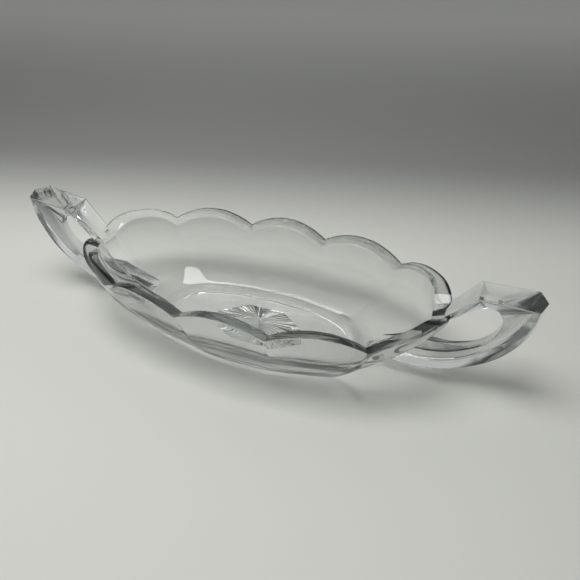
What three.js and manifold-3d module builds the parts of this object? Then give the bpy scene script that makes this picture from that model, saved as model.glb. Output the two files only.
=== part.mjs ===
// Oval pressed-glass dish with a scalloped rim, panelled sides and two angular loop handles.
// Millimetres, +Z up. The origin is the centre of the face that the dish stands on, and the
// dish is long along X.

import * as THREE from 'three';
import { mergeVertices } from 'three/addons/utils/BufferGeometryUtils.js';
import Module from 'manifold-3d';

const wasm = await Module();
wasm.setup();

// Rim: where the outer edge dips between two scallops, for one quarter of the oval.
const MIDDLE_CUSP_X = 20;
const MIDDLE_CUSP_Y = 39.4;
const SHOULDER_CUSP_X = 60;
const SHOULDER_CUSP_Y = 31.7;
const END_FLAT_X = 85.6;
const END_FLAT_HALF_WIDTH = 6;
const CUSP_HEIGHT = 31.5;
const END_FLAT_HEIGHT = 35;

// Rim: each scallop rises above its two ends and swells past the straight line between them.
const SCALLOP_RISE = 6.5;
const SCALLOP_SWELL = 1.9;
const END_SCALLOP_RISE = 4.6;
const END_SCALLOP_SWELL = 5;
const SCALLOP_FULLNESS = 2;
const END_SCALLOP_FULLNESS = 3;
const RIM_WIDTH = 5.7;
const END_FLAT_WIDTH = 7.1;
const RIM_FALL = 1.6;
const RIM_EDGE = 0.6;
const INSIDE_SWELL_EASE = 0.45;

// Wall: how strongly its profile curves outside and inside, 1 being a straight flare.
const WALL_CURVE = 1.5;
const INSIDE_CURVE = 2.1;

// Base: where the ridges between the panels reach it, for one quarter, and its edge.
const BASE_MIDDLE_X = 13.6;
const BASE_MIDDLE_Y = 27.6;
const BASE_SHOULDER_X = 43;
const BASE_SHOULDER_Y = 21.5;
const BASE_END_X = 55;
const BASE_END_HALF_WIDTH = 4;
const BASE_PANEL_SWELL = 0.5;
const BASE_EDGE = 1.2;

// Floor inside, and the seat that holds the star panel.
const FLOOR_HEIGHT = 4.6;
const FLOOR_MARGIN_LONG = 7;
const FLOOR_MARGIN_WIDE = 6.6;
const FLOOR_SQUARENESS = 2.3;
const SEAT_TAPER = 2.5;
const SEAT_CLEARANCE = 0.25;
const BASE_RECESS = 0.5;

// Star under the base: its six-sided outline, its rays and how deep they are.
const STAR_HALF_LENGTH = 22.5;
const STAR_HALF_WIDTH = 10;
const STAR_SHOULDER_X = 9;
const STAR_RAYS = 48;
const STAR_CENTRE_DEPTH = 1.4;
const STAR_RAY_DEPTH = 0.9;
const STAR_RIDGE_DEPTH = 0.4;

// Handles, from the foot on the rim's end flat round to the root low on the wall.
const FOOT_SETBACK = 1.6;
const BAR_RUN = 10.3;
const BAR_RISE = 13.8;
const BAR_THICKNESS = 4.5;
const BAR_ROOT_HEIGHT = 22;
const THUMB_REST_LENGTH = 21.5;
const THUMB_REST_THICKNESS = 6.8;
const TIP_REACH = 2.8;
const RIGHT_TIP_LIFT = 0.2;
const LEFT_TIP_LIFT = 3.4;
const END_THICKNESS = 10.3;
const END_DROP = 3;
const ARM_REACH = 41;
const ARM_LOW_HEIGHT = 4.8;
const ARM_DEPTH = 13.7;
const RIDGE_FADE_ANGLE = 50;
const HANDLE_HALF_WIDTH = 7;
const FOOT_BURIAL = 3.5;
const ROOT_CLEARANCE = 0.3;

// Finger hole: how far its rounded end and its lower edge run, and its edge's half-width.
const HOLE_END_RUN = 7;
const HOLE_END_RISE = 6;
const HOLE_LOW_RUN = 21;
const HOLE_EDGE_HALF_WIDTH = 1.7;

// Fineness of the facets.
const SCALLOP_STEPS = 10;
const FLAT_STEPS = 2;
const WALL_ROWS = 8;
const BAR_STEPS = 6;
const REST_STEPS = 3;
const ARM_STEPS = 14;

// Where the arm's sections face the hole, in degrees: at its corner, nose and lowest point.
const CORNER_TURN = 40;
const ARM_NOSE_TURN = 15;
const ARM_LOW_TURN = 75;
const QUARTER_TURN = 90;

const { clamp, lerp, degToRad } = THREE.MathUtils;

// Zero at both ends of a scallop and one at its crest. A fuller scallop stays high for longer.
const crest = (share, fullness) => 1 - Math.abs(2 * share - 1) ** fullness;

// Twelve corners of the oval, counter-clockwise from the right end, with the kind of side
// that starts at each of them.
function ovalCorners(end, shoulder, middle) {
  const quarter = [
    { ...end, side: 'end' },
    { ...shoulder, side: 'long' },
    { ...middle, side: 'long' },
  ];
  const sidesBackToTheEnd = { 0: 'flat', 1: 'end', 2: 'long' };
  const half = [...quarter];
  for (const index of [2, 1, 0]) {
    const corner = quarter[index];
    half.push({ x: -corner.x, y: corner.y, z: corner.z, side: sidesBackToTheEnd[index] });
  }
  const otherHalf = half.map((corner) => ({ ...corner, x: -corner.x, y: -corner.y }));
  return [...half, ...otherHalf];
}

// Direction of each side and its outward normal, for a counter-clockwise outline.
function sideNormals(corners) {
  return corners.map((corner, index) => {
    const next = corners[(index + 1) % corners.length];
    const along = new THREE.Vector2(next.x - corner.x, next.y - corner.y).normalize();
    return new THREE.Vector2(along.y, -along.x);
  });
}

// The same corners with every side moved outwards by its own distance.
function offsetCorners(corners, distances, lift) {
  const normals = sideNormals(corners);
  return corners.map((corner, index) => {
    const previous = (index + corners.length - 1) % corners.length;
    const before = normals[previous];
    const after = normals[index];
    const reachBefore = distances[corners[previous].side];
    const reachAfter = distances[corner.side];
    const bend = before.dot(after);
    const evenShare = reachAfter / (1 + bend);
    const slip = reachBefore === reachAfter ? 0 : (reachBefore - reachAfter) / (1 - bend * bend);
    const shareBefore = evenShare + slip;
    const shareAfter = evenShare - bend * slip;
    return {
      x: corner.x + shareBefore * before.x + shareAfter * after.x,
      y: corner.y + shareBefore * before.y + shareAfter * after.y,
      z: corner.z + lift,
      side: corner.side,
    };
  });
}

// Points along the closed outline, with each side swelling outwards and rising to its crest.
function outline(corners, swells, rises) {
  const normals = sideNormals(corners);
  const points = [];
  corners.forEach((corner, index) => {
    const next = corners[(index + 1) % corners.length];
    const steps = corner.side === 'flat' ? FLAT_STEPS : SCALLOP_STEPS;
    const fullness = corner.side === 'end' ? END_SCALLOP_FULLNESS : SCALLOP_FULLNESS;
    for (let step = 0; step < steps; step += 1) {
      const share = step / steps;
      const swell = swells[corner.side] * crest(share, SCALLOP_FULLNESS);
      const rise = rises[corner.side] * crest(share, fullness);
      points.push(new THREE.Vector3(
        lerp(corner.x, next.x, share) + normals[index].x * swell,
        lerp(corner.y, next.y, share) + normals[index].y * swell,
        lerp(corner.z, next.z, share) + rise,
      ));
    }
  });
  return points;
}

const RIM_CORNERS = ovalCorners(
  { x: END_FLAT_X, y: END_FLAT_HALF_WIDTH, z: END_FLAT_HEIGHT },
  { x: SHOULDER_CUSP_X, y: SHOULDER_CUSP_Y, z: CUSP_HEIGHT },
  { x: MIDDLE_CUSP_X, y: MIDDLE_CUSP_Y, z: CUSP_HEIGHT },
);
const BASE_CORNERS = ovalCorners(
  { x: BASE_END_X, y: BASE_END_HALF_WIDTH, z: BASE_EDGE },
  { x: BASE_SHOULDER_X, y: BASE_SHOULDER_Y, z: BASE_EDGE },
  { x: BASE_MIDDLE_X, y: BASE_MIDDLE_Y, z: BASE_EDGE },
);
const RIM_RISES = { long: SCALLOP_RISE, end: END_SCALLOP_RISE, flat: 0 };
const RIM_SWELLS = { long: SCALLOP_SWELL, end: END_SCALLOP_SWELL, flat: 0 };
const BASE_RISES = { long: 0, end: 0, flat: 0 };
const BASE_SWELLS = { long: BASE_PANEL_SWELL, end: BASE_PANEL_SWELL, flat: 0 };

const FLOOR_HALF_LENGTH = BASE_END_X - FLOOR_MARGIN_LONG;
const FLOOR_HALF_WIDTH = BASE_MIDDLE_Y - FLOOR_MARGIN_WIDE;

function evenly(distance) {
  return { long: distance, end: distance, flat: distance };
}

function rimOutline(grow) {
  return outline(offsetCorners(RIM_CORNERS, evenly(grow), grow), RIM_SWELLS, RIM_RISES);
}

function insideRimOutline(grow) {
  const widths = {
    long: grow - RIM_WIDTH,
    end: grow - RIM_WIDTH,
    flat: grow - END_FLAT_WIDTH,
  };
  const swells = {
    long: SCALLOP_SWELL - INSIDE_SWELL_EASE,
    end: END_SCALLOP_SWELL - INSIDE_SWELL_EASE,
    flat: 0,
  };
  return outline(offsetCorners(RIM_CORNERS, widths, -RIM_FALL), swells, RIM_RISES);
}

function baseOutline(grow, lift) {
  return outline(offsetCorners(BASE_CORNERS, evenly(grow), lift), BASE_SWELLS, BASE_RISES);
}

// A soft-cornered oval with one point for each point of the rim.
function ovalRing(halfLength, halfWidth, height) {
  const rim = insideRimOutline(0);
  const reachX = Math.max(...rim.map((point) => point.x));
  const reachY = Math.max(...rim.map((point) => point.y));
  const power = 2 / FLOOR_SQUARENESS;
  return rim.map((point) => {
    const angle = Math.atan2(point.y / reachY, point.x / reachX);
    const across = Math.cos(angle);
    const along = Math.sin(angle);
    return new THREE.Vector3(
      halfLength * Math.sign(across) * Math.abs(across) ** power,
      halfWidth * Math.sign(along) * Math.abs(along) ** power,
      height,
    );
  });
}

// One level of a wall that leaves its top edge steeply and turns in towards its bottom edge.
function wallRing(top, bottom, depth, curve) {
  const inset = depth ** curve;
  return top.map((point, index) => new THREE.Vector3(
    lerp(point.x, bottom[index].x, inset),
    lerp(point.y, bottom[index].y, inset),
    lerp(point.z, bottom[index].z, depth),
  ));
}

function ringBetween(first, second, share) {
  return first.map((point, index) => point.clone().lerp(second[index], share));
}

// A surface through rings of equal count, closed on itself or capped at both ends.
function ringSurface(rings, capped) {
  const count = rings[0].length;
  const positions = rings.flat().flatMap((point) => point.toArray());
  const triangles = [];
  const lastBand = capped ? rings.length - 1 : rings.length;
  for (let band = 0; band < lastBand; band += 1) {
    const from = band * count;
    const to = ((band + 1) % rings.length) * count;
    for (let index = 0; index < count; index += 1) {
      const next = (index + 1) % count;
      triangles.push(from + index, to + index, to + next);
      triangles.push(from + index, to + next, from + next);
    }
  }
  if (capped) {
    addCap(rings[0], 0, true, positions, triangles);
    addCap(rings.at(-1), (rings.length - 1) * count, false, positions, triangles);
  }
  const geometry = new THREE.BufferGeometry();
  geometry.setAttribute('position', new THREE.Float32BufferAttribute(positions, 3));
  geometry.setIndex(triangles);
  return geometry;
}

function addCap(ring, offset, isFirst, positions, triangles) {
  const centre = new THREE.Vector3();
  ring.forEach((point) => centre.addScaledVector(point, 1 / ring.length));
  const hub = positions.length / 3;
  positions.push(...centre.toArray());
  for (let index = 0; index < ring.length; index += 1) {
    const next = (index + 1) % ring.length;
    const pair = isFirst ? [offset + index, offset + next] : [offset + next, offset + index];
    triangles.push(hub, ...pair);
  }
}

function toSolid(geometry) {
  const merged = mergeVertices(geometry);
  return new wasm.Manifold(new wasm.Mesh({
    numProp: 3,
    vertProperties: new Float32Array(merged.attributes.position.array),
    triVerts: new Uint32Array(merged.index.array),
  }));
}

function toGeometry(solid) {
  const mesh = solid.getMesh();
  const geometry = new THREE.BufferGeometry();
  geometry.setAttribute('position', new THREE.BufferAttribute(mesh.vertProperties, 3));
  geometry.setIndex(new THREE.BufferAttribute(mesh.triVerts, 1));
  geometry.computeVertexNormals();
  return geometry;
}

// Bowl: outside wall, standing ring, seat, inside wall and rim, as one closed band.
// A positive grow gives the same shape with that much clearance all round.
function bowlGeometry(grow) {
  const rim = rimOutline(grow);
  const insideRim = insideRimOutline(-grow);
  const baseEdge = baseOutline(grow, 0);
  const standing = baseOutline(grow - BASE_EDGE, -BASE_EDGE - grow);
  const floor = ovalRing(FLOOR_HALF_LENGTH - grow, FLOOR_HALF_WIDTH - grow, FLOOR_HEIGHT);
  const seat = ovalRing(
    FLOOR_HALF_LENGTH - SEAT_TAPER - grow,
    FLOOR_HALF_WIDTH - SEAT_TAPER - grow,
    -grow,
  );
  const edgeShare = RIM_EDGE / RIM_WIDTH;
  const outsideEdge = RIM_EDGE / CUSP_HEIGHT;
  const insideEdge = RIM_EDGE / (CUSP_HEIGHT - FLOOR_HEIGHT);
  const rings = [];
  for (let row = 0; row <= WALL_ROWS; row += 1) {
    rings.push(wallRing(rim, baseEdge, lerp(outsideEdge, 1, row / WALL_ROWS), WALL_CURVE));
  }
  rings.push(standing, seat);
  for (let row = 0; row <= WALL_ROWS; row += 1) {
    rings.push(wallRing(insideRim, floor, lerp(1, insideEdge, row / WALL_ROWS), INSIDE_CURVE));
  }
  rings.push(ringBetween(insideRim, rim, edgeShare), ringBetween(rim, insideRim, edgeShare));
  return ringSurface(rings, false);
}

// Half-length of the star's six-sided outline in one direction.
function starReach(angle) {
  const across = Math.abs(Math.cos(angle));
  const along = Math.abs(Math.sin(angle));
  const slope = STAR_HALF_WIDTH / (STAR_HALF_LENGTH - STAR_SHOULDER_X);
  const toSlantedSide = STAR_HALF_LENGTH * slope / (along + across * slope);
  return along === 0 ? STAR_HALF_LENGTH : Math.min(toSlantedSide, STAR_HALF_WIDTH / along);
}

// Star cutter: a shallow six-sided recess with rays from its centre to its outline.
function starGeometry() {
  const points = [];
  for (let step = 0; step < 2 * STAR_RAYS; step += 1) {
    const angle = Math.PI * step / STAR_RAYS;
    const reach = starReach(angle);
    const depth = step % 2 === 0 ? STAR_RAY_DEPTH : STAR_RIDGE_DEPTH;
    points.push(new THREE.Vector3(
      reach * Math.cos(angle),
      reach * Math.sin(angle),
      BASE_RECESS + depth,
    ));
  }
  const below = points.map((point) => point.clone().setZ(BASE_RECESS - STAR_CENTRE_DEPTH));
  const count = points.length;
  const positions = [...points, ...below].flatMap((point) => point.toArray());
  positions.push(0, 0, BASE_RECESS + STAR_CENTRE_DEPTH, 0, 0, BASE_RECESS - STAR_CENTRE_DEPTH);
  const top = 2 * count;
  const bottom = top + 1;
  const triangles = [];
  for (let index = 0; index < count; index += 1) {
    const next = (index + 1) % count;
    triangles.push(top, index, next);
    triangles.push(index, count + index, count + next);
    triangles.push(index, count + next, next);
    triangles.push(bottom, count + next, count + index);
  }
  const geometry = new THREE.BufferGeometry();
  geometry.setAttribute('position', new THREE.Float32BufferAttribute(positions, 3));
  geometry.setIndex(triangles);
  return geometry;
}

// Star base: the floor panel, tapered like its seat in the bowl, with the star cut out below.
function starBaseGeometry() {
  const floor = ovalRing(
    FLOOR_HALF_LENGTH - SEAT_CLEARANCE,
    FLOOR_HALF_WIDTH - SEAT_CLEARANCE,
    FLOOR_HEIGHT,
  );
  const taperLeft = SEAT_TAPER * (1 - BASE_RECESS / FLOOR_HEIGHT);
  const underside = ovalRing(
    FLOOR_HALF_LENGTH - SEAT_CLEARANCE - taperLeft,
    FLOOR_HALF_WIDTH - SEAT_CLEARANCE - taperLeft,
    BASE_RECESS,
  );
  const panel = toSolid(ringSurface([floor, underside], true));
  return toGeometry(panel.subtract(toSolid(starGeometry())));
}

// The middle of the glass of the end wall at a height, which the handle's roots reach.
function insideEndWall(height) {
  const insideTop = END_FLAT_HEIGHT - RIM_FALL;
  const outsideDepth = (END_FLAT_HEIGHT - height) / (END_FLAT_HEIGHT - BASE_EDGE);
  const insideDepth = clamp((insideTop - height) / (insideTop - FLOOR_HEIGHT), 0, 1);
  const outside = lerp(END_FLAT_X, BASE_END_X, outsideDepth ** WALL_CURVE);
  const inside = lerp(END_FLAT_X - END_FLAT_WIDTH, FLOOR_HALF_LENGTH, insideDepth ** INSIDE_CURVE);
  return new THREE.Vector2((outside + inside) / 2, height);
}

// A point on a quarter of an oval, turning by degrees from its end at the right.
function onOval(centre, halfLength, halfHeight, turn) {
  return new THREE.Vector2(
    centre.x + halfLength * Math.cos(degToRad(turn)),
    centre.y + halfHeight * Math.sin(degToRad(turn)),
  );
}

// Cross-sections of a right-hand handle, from its foot on the rim round to its root low on
// the wall. Each has its outside edge, its finger-hole edge and the ridge between the sides.
function handleSections(tipLift) {
  const foot = new THREE.Vector2(END_FLAT_X - FOOT_SETBACK, END_FLAT_HEIGHT);
  const barSlope = BAR_RISE / BAR_RUN;
  const buriedFoot = new THREE.Vector2(foot.x - FOOT_BURIAL / barSlope, foot.y - FOOT_BURIAL);
  const peak = new THREE.Vector2(foot.x + BAR_RUN, foot.y + BAR_RISE);
  const cornerLift = tipLift * THUMB_REST_LENGTH / (THUMB_REST_LENGTH + TIP_REACH);
  const corner = new THREE.Vector2(peak.x + THUMB_REST_LENGTH, peak.y + cornerLift);
  const tip = new THREE.Vector2(corner.x + TIP_REACH, peak.y + tipLift);

  const armHeight = peak.y - END_DROP - ARM_LOW_HEIGHT;
  const armCentre = new THREE.Vector2(corner.x - ARM_REACH, peak.y - END_DROP);
  const onArm = (turn, ridge) => onOval(armCentre, ARM_REACH + ridge, armHeight + ridge, -turn);

  const holeNoseX = corner.x - END_THICKNESS;
  const holeTop = new THREE.Vector2(holeNoseX - HOLE_END_RUN, peak.y - THUMB_REST_THICKNESS);
  const holeEndCentre = new THREE.Vector2(holeTop.x, holeTop.y - HOLE_END_RISE);
  const onHoleEnd = (turn) => onOval(holeEndCentre, HOLE_END_RUN, HOLE_END_RISE, turn);
  const holeLowHeight = ARM_LOW_HEIGHT + ARM_DEPTH;
  const holeLowCentre = new THREE.Vector2(holeNoseX - HOLE_LOW_RUN, holeEndCentre.y);
  const holeLowDrop = holeLowCentre.y - holeLowHeight;
  const onHoleLow = (turn) => onOval(holeLowCentre, HOLE_LOW_RUN, holeLowDrop, -turn);

  // The bar's underside leaves the wall, runs along the bar and eases into the hole's top.
  const barLength = Math.hypot(BAR_RUN, BAR_RISE);
  const thicknessAcross = BAR_THICKNESS * barLength / BAR_RISE;
  const underBarBend = new THREE.Vector2(
    foot.x + (holeTop.y - foot.y) / barSlope + thicknessAcross,
    holeTop.y,
  );
  const underBar = new THREE.QuadraticBezierCurve(
    insideEndWall(BAR_ROOT_HEIGHT),
    underBarBend,
    holeTop,
  );

  const sections = [];
  const add = (outer, inner, ridge = outer) => sections.push({ outer, inner, ridge });
  for (let step = 0; step <= BAR_STEPS; step += 1) {
    const share = step / BAR_STEPS;
    add(buriedFoot.clone().lerp(peak, share), underBar.getPoint(share));
  }
  for (let step = 1; step < REST_STEPS; step += 1) {
    const share = step / REST_STEPS;
    add(peak.clone().lerp(corner, share), onHoleEnd(lerp(QUARTER_TURN, CORNER_TURN, share)));
  }
  add(corner, onHoleEnd(CORNER_TURN), tip);
  for (let step = 0; step <= ARM_STEPS; step += 1) {
    const turn = lerp(0, ARM_LOW_TURN, step / ARM_STEPS);
    const ridge = TIP_REACH * Math.max(0, 1 - turn / RIDGE_FADE_ANGLE);
    const pastNose = turn - ARM_NOSE_TURN;
    const inner = pastNose < 0
      ? onHoleEnd(CORNER_TURN * -pastNose / (2 * ARM_NOSE_TURN))
      : onHoleLow(QUARTER_TURN * pastNose / (ARM_LOW_TURN - ARM_NOSE_TURN));
    add(onArm(turn, 0), inner, onArm(turn, ridge));
  }
  const holeRoot = insideEndWall(holeLowHeight);
  const holeRunOut = onHoleLow(QUARTER_TURN).add(holeRoot).divideScalar(2);
  add(onArm(QUARTER_TURN, 0), holeRunOut);
  add(insideEndWall(ARM_LOW_HEIGHT), holeRoot);
  return sections;
}

// Handle: a wedge-shaped bar, wide outside and narrow at the finger hole, cut to the bowl.
// The side is 1 for the handle at +X and -1 for its mirror image at -X.
function handleGeometry(side, tipLift) {
  const rings = handleSections(tipLift).map(({ outer, inner, ridge }) => {
    const ring = [
      new THREE.Vector3(side * inner.x, HOLE_EDGE_HALF_WIDTH, inner.y),
      new THREE.Vector3(side * outer.x, HANDLE_HALF_WIDTH, outer.y),
      new THREE.Vector3(side * ridge.x, 0, ridge.y),
      new THREE.Vector3(side * outer.x, -HANDLE_HALF_WIDTH, outer.y),
      new THREE.Vector3(side * inner.x, -HOLE_EDGE_HALF_WIDTH, inner.y),
    ];
    return side > 0 ? ring.reverse() : ring;
  });
  const loop = toSolid(ringSurface(rings, true));
  return toGeometry(loop.subtract(toSolid(bowlGeometry(ROOT_CLEARANCE))));
}

function clearGlass(name, geometry, color) {
  const material = new THREE.MeshStandardMaterial({
    color,
    roughness: 0.04,
    metalness: 0,
    transparent: true,
    opacity: 0.4,
  });
  const mesh = new THREE.Mesh(geometry, material);
  mesh.name = name;
  return mesh;
}

const dish = new THREE.Group();
dish.name = 'glass_dish';
dish.add(
  clearGlass('bowl', toGeometry(toSolid(bowlGeometry(0))), 0xe4ebe9),
  clearGlass('star_base', starBaseGeometry(), 0xe0e8e6),
  clearGlass('right_handle', handleGeometry(1, RIGHT_TIP_LIFT), 0xe2eae8),
  clearGlass('left_handle', handleGeometry(-1, LEFT_TIP_LIFT), 0xe2eae8),
);

export default dish;
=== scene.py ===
"""Looks of an oval pressed-glass dish with two loop handles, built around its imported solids.

Metres, +Z up, in the frame of the solids: the dish stands on z = 0 and is long along X.
"""

import math
from collections import namedtuple

import bpy
from bpy.props import FloatProperty, FloatVectorProperty, IntProperty, PointerProperty
from mathutils import Matrix, Vector


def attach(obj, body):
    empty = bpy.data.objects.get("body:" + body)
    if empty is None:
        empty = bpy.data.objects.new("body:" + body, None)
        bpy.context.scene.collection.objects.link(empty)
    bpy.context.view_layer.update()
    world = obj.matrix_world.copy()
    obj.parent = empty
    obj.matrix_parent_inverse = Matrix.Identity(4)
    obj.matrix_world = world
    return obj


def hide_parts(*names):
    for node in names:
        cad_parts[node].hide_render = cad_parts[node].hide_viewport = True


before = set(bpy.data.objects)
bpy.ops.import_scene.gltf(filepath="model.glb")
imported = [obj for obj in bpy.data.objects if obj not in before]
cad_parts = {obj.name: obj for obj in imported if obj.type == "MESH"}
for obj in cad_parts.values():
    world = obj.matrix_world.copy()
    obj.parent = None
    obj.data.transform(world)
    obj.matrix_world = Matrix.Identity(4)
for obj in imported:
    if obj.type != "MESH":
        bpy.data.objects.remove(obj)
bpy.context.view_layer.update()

bl_info = {
    "name": "Pressed-glass dish",
    "version": (1, 0, 0),
    "blender": (4, 5, 0),
    "location": "View3D > Sidebar > Glass dish",
    "description": "Builds an oval pressed-glass dish with a scalloped rim and two loop handles",
    "category": "Add Mesh",
}

MM = 0.001

# Fineness of the meshes.
SCALLOP_STEPS = 36
FLAT_STEPS = 10
CUSP_EASE = 0.72
WALL_ROWS = 26
EDGE_STEPS = 5
HANDLE_EDGE_STEPS = 8
BAR_STEPS = 16
REST_STEPS = 10
ARM_STEPS = 48
ROOT_STEPS = 4
CREASE_SUPPORT = 0.025
SHARP_ANGLE = math.radians(32)

# Insets of the base's worn corner and of its flat ring, as shares of the worn edge.
BASE_CORNER_SHARE = 0.6
STANDING_SHARE = 1.8

# Turns round the finger hole and the arm, in degrees from their outer ends.
QUARTER_TURN = 90
CORNER_TURN = 40
ARM_NOSE_TURN = 15
ARM_LOW_TURN = 75

# Faces where the glass runs on into another piece: their attribute, their mark while a piece is
# being made, how flat they lie, and how far past their ring they may reach.
JOINT = "joint"
JOINT_MARK = 1
JOINT_FLATNESS = 0.01 * MM
JOINT_MARGIN = 1 * MM

# Keeps a direction straight along the dish from dividing by nought.
SMALLEST_SHARE = 1e-9

# Slow waves and faint smears of a pressed surface, and how much the smears tint it.
WAVE_DETAIL = 1.5
WAVE_ROUGHNESS = 0.4
SMEAR_SCALE = 55.0
SMEAR_DETAIL = 5.0
SMEAR_DISTORTION = 1.2
SMEAR_START = 0.5
SMEAR_FULL = 0.8
TINT_DRIFT = 0.02

Corner = namedtuple("Corner", "x y z side")
Section = namedtuple("Section", "outer inner ridge round")


# Settings.

def length(name, description, millimetres):
    """A length property, given in millimetres."""
    return FloatProperty(
        name=name,
        description=description,
        default=millimetres * MM,
        unit="LENGTH",
        subtype="DISTANCE",
        precision=4,
    )


def turning(name, description, degrees):
    """An angle property, given in degrees."""
    return FloatProperty(
        name=name,
        description=description,
        default=math.radians(degrees),
        unit="ROTATION",
        subtype="ANGLE",
    )


def colour(name, description, default):
    """A colour property, in scene-linear values."""
    return FloatVectorProperty(
        name=name,
        description=description,
        default=default,
        subtype="COLOR",
        size=3,
        min=0.0,
        max=1.0,
    )


def share(name, description, default):
    """A property from nought to one."""
    return FloatProperty(
        name=name,
        description=description,
        default=default,
        subtype="FACTOR",
        min=0.0,
        max=1.0,
    )


def number(name, description, default, high):
    """A plain number property from nought up."""
    return FloatProperty(name=name, description=description, default=default, min=0.0, max=high)


class BowlShape(bpy.types.PropertyGroup):
    """Sizes of the bowl: its rim, wall, base and floor."""

    middle_cusp_x: length("Middle cusp, along", "Dip of the rim nearest the middle, along the dish", 20)
    middle_cusp_y: length("Middle cusp, across", "Dip of the rim nearest the middle, across the dish", 39.4)
    shoulder_cusp_x: length("Shoulder cusp, along", "Dip of the rim at the shoulder, along the dish", 60)
    shoulder_cusp_y: length("Shoulder cusp, across", "Dip of the rim at the shoulder, across the dish", 31.7)
    end_flat_x: length("End flat, along", "Flat at each end of the rim, along the dish", 85.6)
    end_flat_half_width: length("End flat half-width", "Half the width of each end flat", 6)
    cusp_height: length("Cusp height", "Height of the rim where it dips", 31.5)
    end_flat_height: length("End flat height", "Height of the flats that carry the handles", 35)
    scallop_rise: length("Scallop rise", "Height of a scallop's crest above its cusps", 6.5)
    scallop_swell: length("Scallop swell", "Bulge of a scallop past the line of its cusps", 1.9)
    end_scallop_rise: length("End scallop rise", "Height of an end scallop's crest above its ends", 4.6)
    end_scallop_swell: length("End scallop swell", "Bulge of an end scallop", 5)
    rim_width: length("Rim width", "Thickness of the glass at the rim", 5.7)
    end_flat_width: length("End flat depth", "Depth of the end flats, from outside to inside", 7.1)
    rim_fall: length("Rim fall", "How far the rim's top slopes down towards the inside", 1.6)
    outer_edge_round: length("Outer edge round", "Rounding of the rim's outside edge", 0.25)
    inner_edge_round: length("Inner edge round", "Rounding of the rim's inside edge", 0.4)
    inside_swell_ease: length("Inside swell ease", "How much flatter the scallops are inside", 0.45)
    base_middle_x: length("Base middle ridge, along", "Where a middle ridge meets the base, along", 13.6)
    base_middle_y: length("Base middle ridge, across", "Where a middle ridge meets the base, across", 27.6)
    base_shoulder_x: length("Base shoulder, along", "Where a shoulder ridge meets the base, along", 43)
    base_shoulder_y: length("Base shoulder, across", "Where a shoulder ridge meets the base, across", 21.5)
    base_end_x: length("Base end, along", "End of the base, along the dish", 55)
    base_end_half_width: length("Base end half-width", "Half the width of the base's end", 4)
    base_panel_swell: length("Base panel swell", "Bulge of a panel where it meets the base", 0.5)
    base_edge: length("Base edge", "Height of the worn edge round the base", 1.2)
    floor_height: length("Floor height", "Height of the floor inside", 4.6)
    floor_margin_long: length("Floor margin, along", "From the base's end to the floor's end", 7)
    floor_margin_wide: length("Floor margin, across", "From the base's side to the floor's side", 6.6)
    floor_round: length("Floor round", "Rounding of the crease between floor and wall", 1.6)
    seat_taper: length("Seat taper", "How much the star panel narrows downwards", 2.5)
    base_recess: length("Base recess", "Height of the star panel's underside", 0.5)
    scallop_fullness: number("Scallop fullness", "How long a scallop stays high", 2.0, 6.0)
    end_scallop_fullness: number("End scallop fullness", "How long an end scallop stays high", 3.0, 6.0)
    floor_squareness: number("Floor squareness", "2 is an ellipse, more is squarer", 2.3, 6.0)
    wall_curve: number("Wall curve", "1 is a straight flare, more turns in lower down", 1.5, 4.0)
    inside_curve: number("Inside curve", "The same for the inside of the wall", 2.1, 4.0)


class StarShape(bpy.types.PropertyGroup):
    """Sizes of the rayed star pressed into the underside."""

    half_length: length("Half-length", "Reach of the star along the dish", 22.5)
    half_width: length("Half-width", "Reach of the star across the dish", 10)
    shoulder_x: length("Shoulder", "Where the star's six-sided outline turns", 9)
    centre_depth: length("Centre depth", "Depth of the star at its centre", 1.4)
    ray_depth: length("Ray depth", "Depth of a ray where it meets the outline", 0.9)
    ridge_depth: length("Ridge depth", "Depth of a ridge where it meets the outline", 0.4)
    rays: IntProperty(name="Rays", description="Number of rays round the star", default=48, min=6, max=90)


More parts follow.
